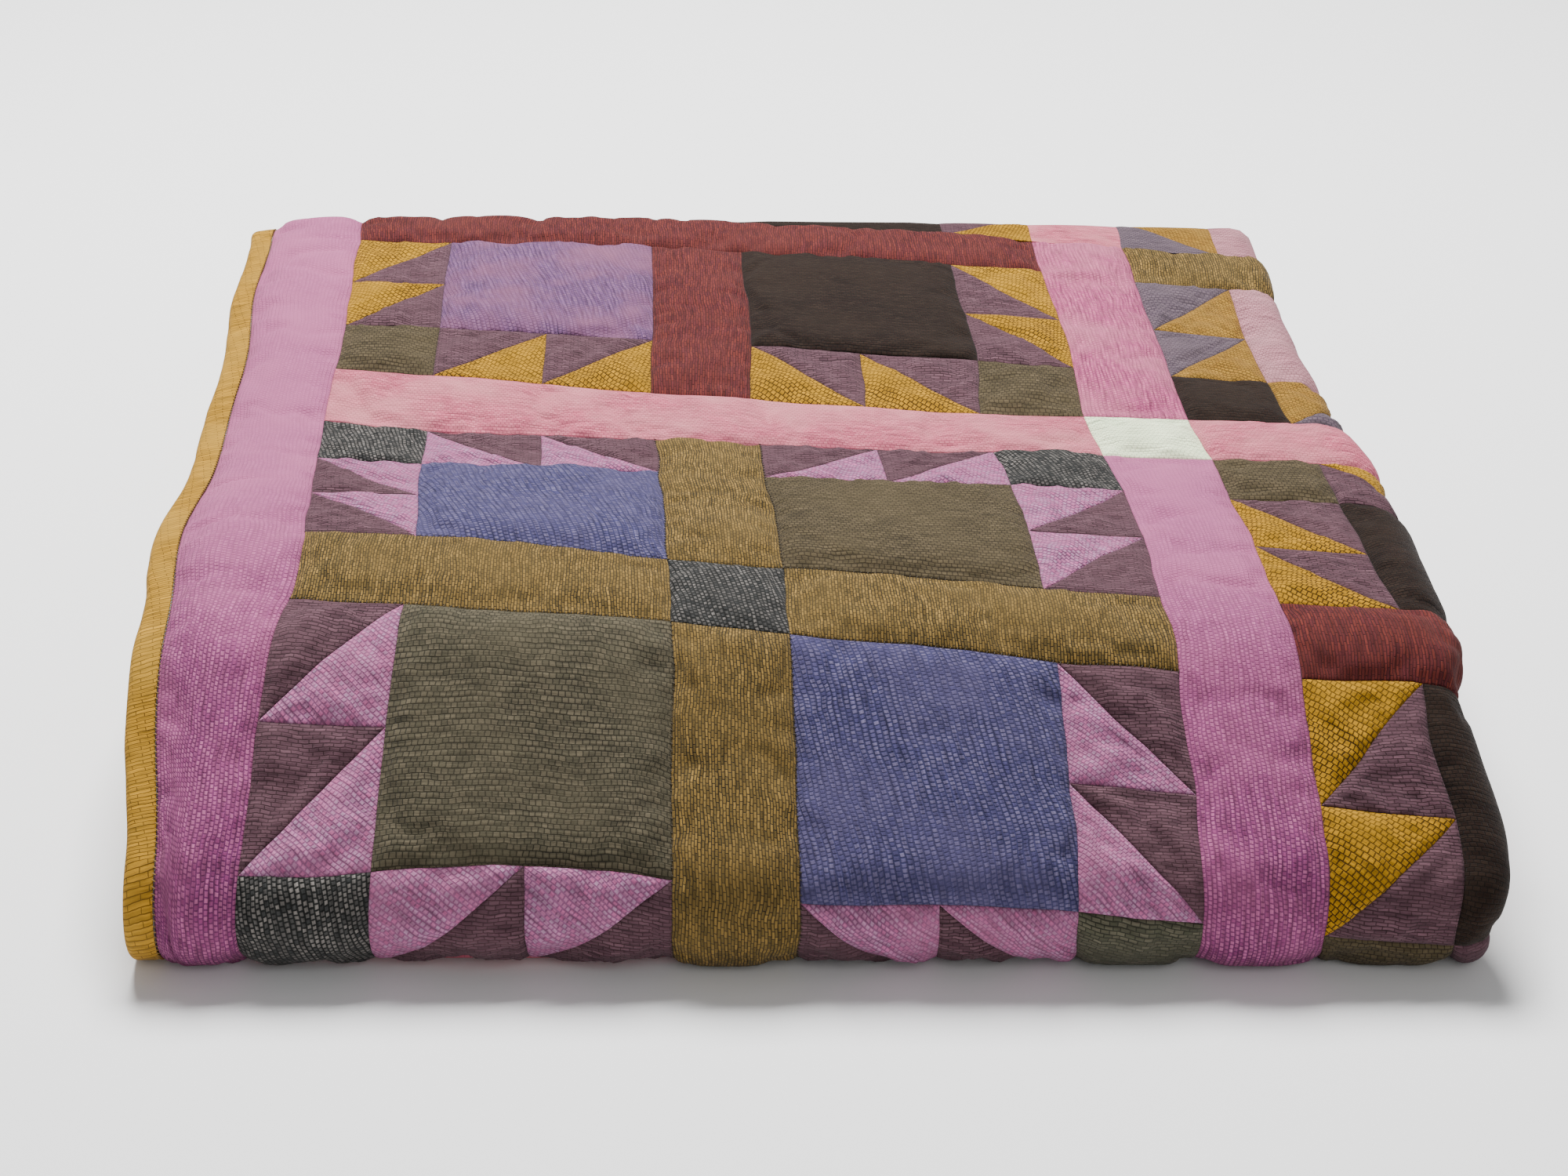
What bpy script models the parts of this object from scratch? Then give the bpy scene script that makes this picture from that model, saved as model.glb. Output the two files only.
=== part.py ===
"""A pieced cotton quilt, folded in half and in half again both ways and laid flat.

The quilt lies in sixteen layers. It was first folded across its width, which makes a band
four layers thick, and the band was then folded along its length into four leaves. The cloth is
described in its own flat measure: u runs across the quilt from its left edge, v runs along it
from the front edge of the front block. Two fold lines carry that flat measure into the packet:
BAND gives x and the depth inside the band, PACKET gives y and z.

Axes: +X to the right, +Y from the front fold to the back fold, +Z up. The origin is the middle
of the face that the packet rests on.
"""

import math

import bmesh
import bpy

# The folded packet, in metres.
PACKET_WIDTH = 0.574
PACKET_DEPTH = 0.630
LAYER_GAP = 0.0005  # air between two layers of quilt
LEAF_GAP = 0.0006  # air between two leaves of the folded band
FRONT_SLOPE = math.radians(34)  # fall of the top leaf to the fold that lies on the ground
NOSE_ROOM = 0.003  # half the height of the hollow inside that fold
EDGE_SETBACK = 0.003  # the folds under the top layer stop short of its bound edge
END_SETBACK = 0.030  # the two short ends of the quilt stop short of the back fold
LEAN = -0.054  # how far the packet leans to the right for each metre to the back

# The patchwork, in metres.
BINDING_WIDTH = 0.012
SASH = 0.051  # strip between two blocks, and the border
TOOTH = 0.051  # width of a sawtooth strip
PAW = 0.115  # side of a large square
CROSS = 0.051  # strip that crosses a block
SKEW = 0.115  # how far the rows lean towards the front for each metre to the right
FRONT_ROW = -0.380  # y that v = 0 would have at x = 0 if the top leaf ran on flat

# The cloths, in metres.
TOP_CLOTH = 0.0009
WADDING = 0.0039
BACKING = 0.0008
UNDER_TOP = 0.0005  # between the pieced top and the wadding
UNDER_WADDING = 0.0004
SEAM_GAP = 0.0003  # between neighbouring pieces of cloth
STRAIGHTENING = 0.030  # length of hidden cloth over which a leaning row is drawn square

# How finely curved cloth is divided.
TURN_STEP = 0.010
SIDE_STEP = 0.0075
WIDE_STEP = 0.062
TURN_ANGLE = math.radians(30)

BLOCK = 2 * TOOTH + 2 * PAW + CROSS
CLOTH_EDGE = BINDING_WIDTH + SEAM_GAP  # where the top and the backing meet the binding
QUILT = TOP_CLOTH + UNDER_TOP + WADDING + UNDER_WADDING + BACKING
TOP_LEVEL = QUILT / 2 - TOP_CLOTH / 2  # middle of each cloth, from the middle of a layer
WADDING_LEVEL = QUILT / 2 - TOP_CLOTH - UNDER_TOP - WADDING / 2
BACKING_LEVEL = BACKING / 2 - QUILT / 2
LAYER_PITCH = QUILT + LAYER_GAP
BAND_HALF = 1.5 * LAYER_PITCH + QUILT / 2
LEAF_PITCH = 4 * LAYER_PITCH + LEAF_GAP
PACKET_HALF = 1.5 * LEAF_PITCH + BAND_HALF
TOP_IN_BAND = 1.5 * LAYER_PITCH + TOP_LEVEL  # the visible cloth, from the middle of the band

COLOURS = {
    "magenta": (0.36, 0.09, 0.27),
    "pink": (0.56, 0.28, 0.38),
    "mint": (0.48, 0.58, 0.50),
    "ochre_shot": (0.17, 0.10, 0.03),
    "teal": (0.035, 0.04, 0.04),
    "olive": (0.08, 0.07, 0.045),
    "blue": (0.10, 0.11, 0.24),
    "lilac": (0.33, 0.25, 0.40),
    "rust": (0.17, 0.03, 0.025),
    "plum_rose": (0.20, 0.08, 0.12),
    "plum_mustard": (0.26, 0.15, 0.05),
    "grey_mustard": (0.25, 0.19, 0.15),
    "umber": (0.04, 0.03, 0.02),
    "dusty_rose": (0.50, 0.29, 0.35),
    "mustard": (0.47, 0.25, 0.03),
    "patchwork": (0.20, 0.13, 0.12),
    "cotton_wool": (0.75, 0.72, 0.66),
    "backing_cloth": (0.42, 0.33, 0.24),
}


class FoldLine:
    """A line of straight runs and round turns, which a sheet of cloth follows.

    Each step is an angle and a size: zero and a length, or the angle turned through, positive
    to the left, and a radius. A point is found by its distance along the line and its offset
    to the left of it, which is the side that the pieced top is on.
    """

    def __init__(self, start, heading, steps):
        self.start = start
        self.heading = heading
        self.steps = steps

    def lengths(self, offset):
        """Length of each step, measured at an offset."""
        found = []
        for angle, size in self.steps:
            radius = size - math.copysign(offset, angle)
            found.append(abs(angle) * radius if angle else size)
        return found

    def starts(self, offset):
        """Distance at which each step starts and the last one ends, measured at an offset."""
        found = [0.0]
        for length in self.lengths(offset):
            found.append(found[-1] + length)
        return found

    def point(self, distance, offset, measured=0.0):
        """Coordinates of a point, its distance being measured at the offset `measured`."""
        a, b = self.start
        heading = self.heading
        last = len(self.steps) - 1
        for number, ((angle, size), length) in enumerate(zip(self.steps, self.lengths(measured))):
            part = distance if number == last else min(distance, length)
            if angle:
                radius = math.copysign(size, angle)
                a -= radius * math.sin(heading)
                b += radius * math.cos(heading)
                heading += angle * part / length
                a += radius * math.sin(heading)
                b -= radius * math.cos(heading)
            else:
                a += part * math.cos(heading)
                b += part * math.sin(heading)
            distance -= part
            if distance <= 0:
                break
        return a - offset * math.sin(heading), b + offset * math.cos(heading)

    def stations(self, start, end, measured=0.0):
        """Distances that divide the line from start to end: runs whole, turns in steps."""
        found = [start]
        starts = self.starts(measured)
        for (angle, _), low, high in zip(self.steps, starts, starts[1:]):
            count = max(2, round(abs(angle) / TURN_ANGLE)) if angle else 1
            found += [low + (high - low) * i / count for i in range(count + 1)]
        return spaced(start, end, found)


def spaced(start, end, found):
    """The distances between start and end, without any that nearly repeats another."""
    kept = [start]
    for distance in sorted(found):
        if kept[-1] + SEAM_GAP < distance < end - SEAM_GAP:
            kept.append(distance)
    return kept + [end]


# The band: x and depth. It starts at the left edge of the outer layer.
BAND_RIGHT = PACKET_WIDTH / 2 - BAND_HALF
BAND_LEFT = EDGE_SETBACK - PACKET_WIDTH / 2 + LAYER_PITCH / 2 + QUILT / 2
BAND_RUN = BAND_RIGHT - BAND_LEFT
BAND = FoldLine(
    (-PACKET_WIDTH / 2, 1.5 * LAYER_PITCH),
    0.0,
    (
        (0, BAND_RIGHT + PACKET_WIDTH / 2),
        (-math.pi, 1.5 * LAYER_PITCH),
        (0, BAND_RUN),
        (-math.pi, 0.5 * LAYER_PITCH),
        (0, BAND_RUN),
        (math.pi, 0.5 * LAYER_PITCH),
        (0, BAND_RIGHT + PACKET_WIDTH / 2 - EDGE_SETBACK),
    ),
)
BAND_LENGTH = BAND.starts(0.0)[-1]

# The packet: y and height. It starts at the back end of the bottom leaf. The inner fold stands
# back from the front, so the top leaf runs down over it to a low fold of its own.
INNER_RADIUS = 0.5 * LEAF_PITCH
NOSE_RADIUS = BAND_HALF + NOSE_ROOM
BROW_RADIUS = 1.5 * LEAF_PITCH
NOSE_Y = BAND_HALF + NOSE_RADIUS - PACKET_DEPTH / 2
NOSE_Z = BAND_HALF + NOSE_RADIUS
FALL = PACKET_HALF + (BROW_RADIUS - NOSE_RADIUS) * math.cos(FRONT_SLOPE) - NOSE_Z
BROW_Y = NOSE_Y + FALL / math.tan(FRONT_SLOPE) + (BROW_RADIUS - NOSE_RADIUS) * math.sin(FRONT_SLOPE)
BACK_Y = PACKET_DEPTH / 2 - INNER_RADIUS - BAND_HALF
END_Y = PACKET_DEPTH / 2 - END_SETBACK
PACKET = FoldLine(
    (END_Y, BAND_HALF),
    math.pi,
    (
        (0, END_Y - NOSE_Y),
        (FRONT_SLOPE - math.pi, NOSE_RADIUS),
        (0, FALL / math.sin(FRONT_SLOPE)),
        (-FRONT_SLOPE, BROW_RADIUS),
        (0, BACK_Y - BROW_Y),
        (-math.pi, INNER_RADIUS),
        (0, BACK_Y - BROW_Y),
        (math.pi, INNER_RADIUS),
        (0, END_Y - BROW_Y),
    ),
)
PACKET_LENGTH = PACKET.starts(0.0)[-1]

# Distance along the packet, at the visible cloth, where each of its steps starts.
VISIBLE_STARTS = PACKET.starts(TOP_IN_BAND)
TOP_LEAF_START = VISIBLE_STARTS[4]


def in_packet(u, s, level, u_measured=0.0, s_measured=0.0):
    """A point of the quilt from its distances across and along, and its level in the layer."""
    x, depth = BAND.point(u, level, u_measured)
    y, z = PACKET.point(s, depth, s_measured)
    return x + LEAN * y, y, z


def along(u, v):
    """Distance along the packet of the pieced top's point (u, v)."""
    y_if_flat = FRONT_ROW + v - SKEW * (u - PACKET_WIDTH / 2)
    return TOP_LEAF_START + y_if_flat - BROW_Y


def pieced(u, v, height):
    """Place of the pieced top's point (u, v), its height being from the middle of the cloth."""
    return in_packet(u, along(u, v), TOP_LEVEL + height, TOP_LEVEL, TOP_IN_BAND)


def fabric(name):
    material = bpy.data.materials.get(name)
    if material:
        return material
    material = bpy.data.materials.new(name)
    material.use_nodes = True
    shader = material.node_tree.nodes["Principled BSDF"]
    shader.inputs["Base Color"].default_value = (*COLOURS[name], 1.0)
    shader.inputs["Roughness"].default_value = 0.9
    shader.inputs["Metallic"].default_value = 0.0
    return material


def grid_of(columns, rows):
    """A flat grid in a new mesh, and the column and row that each of its vertices is on."""
    across, down = len(columns) - 1, len(rows) - 1
    grid = bmesh.new()
    bmesh.ops.create_grid(grid, x_segments=across, y_segments=down, size=1.0)
    return grid, lambda vertex: (
        columns[round((vertex.co.x + 1) / 2 * across)],
        rows[round((vertex.co.y + 1) / 2 * down)],
    )


def add_piece(name, mesh_data, colour):
    mesh = bpy.data.meshes.new(name)
    mesh_data.to_mesh(mesh)
    mesh_data.free()
    mesh.materials.append(fabric(colour))
    mesh.shade_smooth()
    piece = bpy.data.objects.new(name, mesh)
    collection.objects.link(piece)
    return piece


def cloth(name, columns, rows, place, thickness, colour):
    """A sheet that is given its thickness flat, then laid by place(column, row, height)."""
    sheet, where = grid_of(columns, rows)
    bmesh.ops.solidify(sheet, geom=sheet.faces[:], thickness=thickness)
    lowest = min(vertex.co.z for vertex in sheet.verts)
    for vertex in sheet.verts:
        column, row = where(vertex)
        vertex.co = place(column, row, vertex.co.z - lowest - thickness / 2)
    return add_piece(name, sheet, colour)


def strip(name, columns, rows, place, thickness, colour):
    """A strip bent across its width, laid by place(column, row) and thickened both ways."""
    sheet, where = grid_of(columns, rows)
    for vertex in sheet.verts:
        vertex.co = place(*where(vertex))
    piece = add_piece(name, sheet, colour)
    thicken = piece.modifiers.new("thickness", "SOLIDIFY")
    thicken.thickness = thickness
    thicken.offset = 0.0
    return piece


def divided(start, end, step):
    count = max(1, math.ceil((end - start) / step - 1e-6))
    return [start + (end - start) * i / count for i in range(count + 1)]


def u_lines(start, end, curved):
    """Lines across a patch. They are closest where the cloth goes round the right-hand fold."""
    turn_start, turn_end = BAND.starts(TOP_LEVEL)[1:3]
    lines = []
    for low, high, step in (
        (start, min(end, turn_start), WIDE_STEP if curved else end - start),
        (max(start, turn_start), min(end, turn_end), SIDE_STEP),
        (max(start, turn_end), end, WIDE_STEP),
    ):
        if high - low > SEAM_GAP:
            lines += divided(low, high, step)
    return spaced(start, end, lines)


def v_lines(u0, u1, v0, v1):
    """Lines along a patch: close together where any part of it goes round a turn."""
    lines = []
    low_at, high_at = along(u1, 0.0), along(u0, 0.0)
    for number, (angle, _) in enumerate(PACKET.steps):
        low = max(v0, VISIBLE_STARTS[number] - high_at)
        high = min(v1, VISIBLE_STARTS[number + 1] - low_at)
        if angle and high - low > SEAM_GAP:
            lines += divided(low, high, TURN_STEP)
    return spaced(v0, v1, lines)


def patch(name, u0, u1, v0, v1, colour):
    """One piece of the pieced top, a seam's width short of its neighbours."""
    u0, u1 = u0 + SEAM_GAP / 2, u1 - SEAM_GAP / 2
    v0, v1 = v0 + SEAM_GAP / 2, v1 - SEAM_GAP / 2
    rows = v_lines(u0, u1, v0, v1)
    return cloth(name, u_lines(u0, u1, len(rows) > 2), rows, pieced, TOP_CLOTH, colour)


def block_lines(start):
    """The six seam lines of a block, in either direction."""
    sizes = (TOOTH, PAW, CROSS, PAW, TOOTH)
    lines = [start]
    for size in sizes:
        lines.append(lines[-1] + size)
    return lines


def block(name, u_start, v_start, columns, rows, colours):
    """The pieces of a block that lie in the given columns and rows, of five each."""
    u, v = block_lines(u_start), block_lines(v_start)
    side = {0: "left", 1: "left", 3: "right", 4: "right"}
    end = {0: "front", 1: "front", 3: "back", 4: "back"}
    for i in columns:
        for j in rows:
            if 2 in (i, j):
                continue
            where = f"{end[j]}_{side[i]}"
            if i in (1, 3) and j in (1, 3):
                kind = "square"
            elif i in (0, 4) and j in (0, 4):
                kind = "corner"
            else:
                kind = "side_teeth" if i in (0, 4) else "end_teeth"
            colour = colours.get(f"{where}_{kind}", colours[kind])
            patch(f"{name}_{where}_{kind}", u[i], u[i + 1], v[j], v[j + 1], colour)
    if 2 in columns:
        patch(f"{name}_front_arm", u[2], u[3], v[0], v[2], colours["arm"])
        if 4 in rows:
            patch(f"{name}_back_arm", u[2], u[3], v[3], v[5], colours["arm"])
            patch(f"{name}_centre", u[2], u[3], v[2], v[3], colours["centre"])
            patch(f"{name}_left_arm", u[0], u[2], v[2], v[3], colours["arm"])
            patch(f"{name}_right_arm", u[3], u[5], v[2], v[3], colours["arm"])
        else:
            patch(f"{name}_cross_bar", u[0], u[5], v[2], v[3], colours["arm"])
    else:
        patch(f"{name}_left_arm", u[0], u[2], v[2], v[3], colours["arm"])


# Seam lines of the part of the quilt that shows.
EDGE = BINDING_WIDTH
LEFT_BLOCK = EDGE + SASH
RIGHT_SASH = LEFT_BLOCK + BLOCK
RIGHT_BLOCK = RIGHT_SASH + SASH
SHOWN_RIGHT = RIGHT_BLOCK + TOOTH + PAW  # past the right-hand fold, on the underside
MIDDLE_SASH = BLOCK
BACK_BLOCK = BLOCK + SASH
SHOWN_BACK = BACK_BLOCK + TOOTH + PAW + CROSS  # past the crest of the back fold


def blocks():
    block(
        "front_block",
        LEFT_BLOCK,
        0.0,
        range(5),
        range(5),
        {
            "square": "olive",
            "back_left_square": "blue",
            "front_right_square": "blue",
            "corner": "teal",
            "side_teeth": "plum_rose",
            "end_teeth": "plum_rose",
            "arm": "ochre_shot",
            "centre": "teal",
        },
    )
    block(
        "back_block",
        LEFT_BLOCK,
        BACK_BLOCK,
        range(5),
        range(2),
        {
            "front_left_square": "lilac",
            "square": "umber",
            "corner": "olive",
            "side_teeth": "plum_mustard",
            "end_teeth": "plum_mustard",
            "arm": "rust",
        },
    )
    block(
        "right_block",
        RIGHT_BLOCK,
        0.0,
        range(2),
        range(5),
        {
            "square": "umber",
            "corner": "olive",
            "side_teeth": "plum_mustard",
            "end_teeth": "plum_mustard",
            "arm": "rust",
        },
    )
    block(
        "far_block",
        RIGHT_BLOCK,
        BACK_BLOCK,
        range(2),
        range(2),
        {
            "square": "dusty_rose",
            "corner": "umber",
            "side_teeth": "grey_mustard",
            "end_teeth": "grey_mustard",
            "arm": "ochre_shot",
        },
    )


def sashes():
    patch("middle_sash_left", LEFT_BLOCK, RIGHT_SASH, MIDDLE_SASH, BACK_BLOCK, "pink")
    patch("middle_sash_right", RIGHT_BLOCK, SHOWN_RIGHT, MIDDLE_SASH, BACK_BLOCK, "pink")
    patch("right_sash_front", RIGHT_SASH, RIGHT_BLOCK, 0.0, MIDDLE_SASH, "magenta")
    patch("right_sash_back", RIGHT_SASH, RIGHT_BLOCK, BACK_BLOCK, SHOWN_BACK, "pink")
    patch("cornerstone", RIGHT_SASH, RIGHT_BLOCK, MIDDLE_SASH, BACK_BLOCK, "mint")


def hidden_rows(name, boundary_v, straight_from, stations):
    """The rest of the pieced top's left part, behind or under the pieces that show.

    Its first line follows the leaning seam at boundary_v. The next ones straighten up until
    the line at straight_from lies square to the packet, as all the stations after it do.
    """
    columns = u_lines(EDGE + SASH + SEAM_GAP, SHOWN_RIGHT - SEAM_GAP / 2, True)
    ends = [abs(straight_from - along(u, boundary_v)) for u in (columns[0], columns[-1])]
    shares = divided(0.0, 1.0, TURN_STEP / max(ends))
    lines = [("lean", share) for share in shares] + [("square", s) for s in stations]

    def place(u, line, height):
        kind, value = line
        s = value
        if kind == "lean":
            s = (1 - value) * along(u, boundary_v) + value * straight_from
        return in_packet(u, s, TOP_LEVEL + height, TOP_LEVEL, TOP_IN_BAND)

    if straight_from < along(0.0, boundary_v):
        lines.reverse()
    return cloth(name, columns, lines, place, TOP_CLOTH, "patchwork")


def hidden_patchwork():
    start, end = CLOTH_EDGE, VISIBLE_STARTS[-1] - CLOTH_EDGE
    front_v, back_v = -SEAM_GAP / 2, SHOWN_BACK + SEAM_GAP / 2
    front_square = min(VISIBLE_STARTS[1], along(SHOWN_RIGHT, front_v) - STRAIGHTENING)
    back_square = max(VISIBLE_STARTS[6], along(EDGE, back_v) + STRAIGHTENING)
    before = PACKET.stations(start, front_square, TOP_IN_BAND)
    after = PACKET.stations(back_square, end, TOP_IN_BAND)
    hidden_rows("underside_patchwork", front_v, front_square, before[-2::-1])
    hidden_rows("inner_leaf_patchwork", back_v, back_square, after[1:])

    columns = BAND.stations(
        SHOWN_RIGHT + SEAM_GAP / 2, BAND.starts(TOP_LEVEL)[-1] - CLOTH_EDGE, TOP_LEVEL
    )
    rows = PACKET.stations(CLOTH_EDGE, PACKET_LENGTH - CLOTH_EDGE)

    def place(u, s, height):
        return in_packet(u, s, TOP_LEVEL + height, TOP_LEVEL)

    cloth("inner_layers_patchwork", columns, rows, place, TOP_CLOTH, "patchwork")


def left_border():
    """The border strip along the quilt's left edge, through all four leaves."""
    columns = [EDGE + SEAM_GAP / 2, EDGE + SASH - SEAM_GAP / 2]
    rows = PACKET.stations(CLOTH_EDGE, PACKET_LENGTH - CLOTH_EDGE)

    def place(u, s, height):
        return in_packet(u, s, TOP_LEVEL + height)

    cloth("left_border", columns, rows, place, TOP_CLOTH, "magenta")


def inner_sheets():
    """The wadding and the backing, each one sheet through all sixteen layers."""

    def sheet(name, edge, level, thickness, colour):
        columns = BAND.stations(edge, BAND_LENGTH - edge)
        rows = PACKET.stations(edge, PACKET_LENGTH - edge)

        def place(u, s, height):
            return in_packet(u, s, level + height)

        cloth(name, columns, rows, place, thickness, colour)

    sheet("wadding", 2 * BACKING + SEAM_GAP, WADDING_LEVEL, WADDING, "cotton_wool")
    sheet("backing", CLOTH_EDGE, BACKING_LEVEL, BACKING, "backing_cloth")


def bindings():
    """Four strips folded over the quilt's edges, each a channel with rounded corners."""
    web = BACKING / 2
    corner = 2 * BACKING
    top, bottom = TOP_LEVEL, BACKING_LEVEL
    channel = (
        (BINDING_WIDTH, top),
        (corner, top),
        (web, top - corner),
        (web, bottom + corner),
        (corner, bottom),
        (BINDING_WIDTH, bottom),
    )

    def long_strip(name, place):
        rows = PACKET.stations(0.0, PACKET_LENGTH)
        strip(name, channel, rows, place, BACKING, "mustard")

    def short_strip(name, place):
        columns = BAND.stations(CLOTH_EDGE, BAND_LENGTH - CLOTH_EDGE)
        strip(name, columns, channel, place, BACKING, "mustard")

    long_strip("left_binding", lambda c, s: in_packet(c[0], s, c[1]))
    long_strip("right_binding", lambda c, s: in_packet(BAND_LENGTH - c[0], s, c[1]))
    short_strip("front_end_binding", lambda u, c: in_packet(u, c[0], c[1]))
    short_strip("back_end_binding", lambda u, c: in_packet(u, PACKET_LENGTH - c[0], c[1]))


for existing in list(bpy.data.objects):
    bpy.data.objects.remove(existing)
collection = bpy.data.collections.new("folded_quilt")
bpy.context.scene.collection.children.link(collection)
blocks()
sashes()
left_border()
hidden_patchwork()
inner_sheets()
bindings()
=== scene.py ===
"""The looks of a pieced cotton quilt that lies folded flat.

The quilt is described in its own flat measure, as the solids of the frame are: u runs across
from its left edge, v runs along it from the front edge of the front block, and s is the distance
along the folded band. Two fold lines carry a point of the flat cloth into the packet.
"""

import math

import bpy
import numpy as np
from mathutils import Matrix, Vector


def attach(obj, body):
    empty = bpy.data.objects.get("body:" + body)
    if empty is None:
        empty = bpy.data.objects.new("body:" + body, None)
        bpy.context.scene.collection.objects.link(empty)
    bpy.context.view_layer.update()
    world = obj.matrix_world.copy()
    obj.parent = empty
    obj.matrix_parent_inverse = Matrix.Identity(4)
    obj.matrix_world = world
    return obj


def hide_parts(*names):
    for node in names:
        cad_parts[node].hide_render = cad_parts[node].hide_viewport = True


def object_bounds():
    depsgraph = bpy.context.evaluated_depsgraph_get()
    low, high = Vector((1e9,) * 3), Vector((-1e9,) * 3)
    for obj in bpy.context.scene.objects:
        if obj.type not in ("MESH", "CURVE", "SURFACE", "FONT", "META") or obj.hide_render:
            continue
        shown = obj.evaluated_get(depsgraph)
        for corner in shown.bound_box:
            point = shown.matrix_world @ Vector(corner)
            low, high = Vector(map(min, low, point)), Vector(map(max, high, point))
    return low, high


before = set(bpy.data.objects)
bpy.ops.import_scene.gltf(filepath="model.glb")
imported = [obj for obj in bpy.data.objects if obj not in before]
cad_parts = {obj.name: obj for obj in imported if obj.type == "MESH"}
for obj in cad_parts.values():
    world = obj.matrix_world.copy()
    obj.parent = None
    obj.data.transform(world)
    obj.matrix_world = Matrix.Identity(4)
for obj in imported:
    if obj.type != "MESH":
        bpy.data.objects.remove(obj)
cad_low, cad_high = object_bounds()

MM = 0.001

# The folded packet, as in the frame.
PACKET_DEPTH = cad_high.y - cad_low.y
PACKET_WIDTH = 0.574
LAYER_PITCH = 7.0 * MM
LEAF_GAP = 0.6 * MM
FRONT_SLOPE = math.radians(34)
NOSE_ROOM = 3.0 * MM
EDGE_SETBACK = 3.0 * MM
END_SETBACK = 30.0 * MM
LEAN = -0.054

# The patchwork, as in the frame.
BINDING_WIDTH = 12.0 * MM
SASH = 51.0 * MM
TOOTH = 51.0 * MM
PAW = 115.0 * MM
CROSS = 51.0 * MM
SKEW = 0.115
FRONT_ROW = -0.380

# The cloths, as in the frame.
TOP_CLOTH = 0.9 * MM
WADDING = 3.9 * MM
BACKING = 0.8 * MM
UNDER_TOP = 0.5 * MM
UNDER_WADDING = 0.4 * MM

BLOCK = 2 * TOOTH + 2 * PAW + CROSS
REPEAT = BLOCK + SASH
QUILT = TOP_CLOTH + UNDER_TOP + WADDING + UNDER_WADDING + BACKING
TOP_LEVEL = QUILT / 2 - TOP_CLOTH / 2
WADDING_LEVEL = QUILT / 2 - TOP_CLOTH - UNDER_TOP - WADDING / 2
BACKING_LEVEL = BACKING / 2 - QUILT / 2
BAND_HALF = 1.5 * LAYER_PITCH + QUILT / 2
LEAF_PITCH = 4 * LAYER_PITCH + LEAF_GAP
PACKET_HALF = 1.5 * LEAF_PITCH + BAND_HALF
HEIGHT = 2 * PACKET_HALF
TOP_IN_BAND = 1.5 * LAYER_PITCH + TOP_LEVEL

# Fine form of the cloth.
FINE = 2.4 * MM  # grid of the cloth that shows
TURNING = 5.5 * MM  # grid of the hidden cloth where it goes round the folds of the band
PLAIN = 16.0 * MM  # grid of the hidden cloth where it lies flat
SEAM_DEPTH = 1.5 * MM  # how far a seam lies below the middle of a patch
SEAM_REACH = 5.0 * MM  # how far from a seam the patch has risen
TIP = 0.1 * MM  # blunt end of a triangle
MOST_TURN = math.radians(28)  # of the packet's folds, between two lines of the hidden grid
LEAST_SHARE = 0.002  # of a panel's side, under which lines are no longer added


# ---------------------------------------------------------------- the folded shape


class FoldLine:
    """A line of straight runs and round turns, for arrays of points."""

    def __init__(self, start, heading, steps):
        self.steps = steps
        self.knots = []
        a, b = start
        for angle, size in steps:
            self.knots.append((a, b, heading))
            if angle:
                radius = math.copysign(size, angle)
                a -= radius * math.sin(heading)
                b += radius * math.cos(heading)
                heading += angle
                a += radius * math.sin(heading)
                b -= radius * math.cos(heading)
            else:
                a += size * math.cos(heading)
                b += size * math.sin(heading)

    def starts(self, offset):
        """Distance at which each step starts and the last one ends, measured at an offset."""
        found = [0.0]
        for angle, size in self.steps:
            length = abs(angle) * (size - math.copysign(offset, angle)) if angle else size
            found.append(found[-1] + length)
        return found

    def heading(self, distance, measured):
        """How far the line has turned, in all, at a distance."""
        turned = np.concatenate([[0.0], np.cumsum([angle for angle, _ in self.steps])])
        return np.interp(distance, self.starts(measured), turned)

    def point(self, distance, offset, measured):
        distance, offset = np.broadcast_arrays(np.asarray(distance, float), offset)
        a, b, heading = (np.zeros(distance.shape) for _ in range(3))
        starts = self.starts(measured)
        step = np.clip(np.searchsorted(starts, distance, side="right") - 1, 0, len(self.steps) - 1)
        for number, (angle, size) in enumerate(self.steps):
            here = step == number
            part = distance[here] - starts[number]
            knot_a, knot_b, start = self.knots[number]
            if angle:
                turned = start + angle * part / (starts[number + 1] - starts[number])
                radius = math.copysign(size, angle)
                a[here] = knot_a + radius * (np.sin(turned) - math.sin(start))
                b[here] = knot_b - radius * (np.cos(turned) - math.cos(start))
                heading[here] = turned
            else:
                a[here] = knot_a + part * math.cos(start)
                b[here] = knot_b + part * math.sin(start)
                heading[here] = start
        return a - offset * np.sin(heading), b + offset * np.cos(heading)


BAND_RIGHT = PACKET_WIDTH / 2 - BAND_HALF
BAND_LEFT = EDGE_SETBACK - PACKET_WIDTH / 2 + LAYER_PITCH / 2 + QUILT / 2
BAND = FoldLine(
    (-PACKET_WIDTH / 2, 1.5 * LAYER_PITCH),
    0.0,
    (
        (0, BAND_RIGHT + PACKET_WIDTH / 2),
        (-math.pi, 1.5 * LAYER_PITCH),
        (0, BAND_RIGHT - BAND_LEFT),
        (-math.pi, 0.5 * LAYER_PITCH),
        (0, BAND_RIGHT - BAND_LEFT),
        (math.pi, 0.5 * LAYER_PITCH),
        (0, BAND_RIGHT + PACKET_WIDTH / 2 - EDGE_SETBACK),
    ),
)
INNER_RADIUS = 0.5 * LEAF_PITCH
NOSE_RADIUS = BAND_HALF + NOSE_ROOM
BROW_RADIUS = 1.5 * LEAF_PITCH
NOSE_Y = BAND_HALF + NOSE_RADIUS - PACKET_DEPTH / 2
NOSE_Z = BAND_HALF + NOSE_RADIUS
FALL = PACKET_HALF + (BROW_RADIUS - NOSE_RADIUS) * math.cos(FRONT_SLOPE) - NOSE_Z
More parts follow.
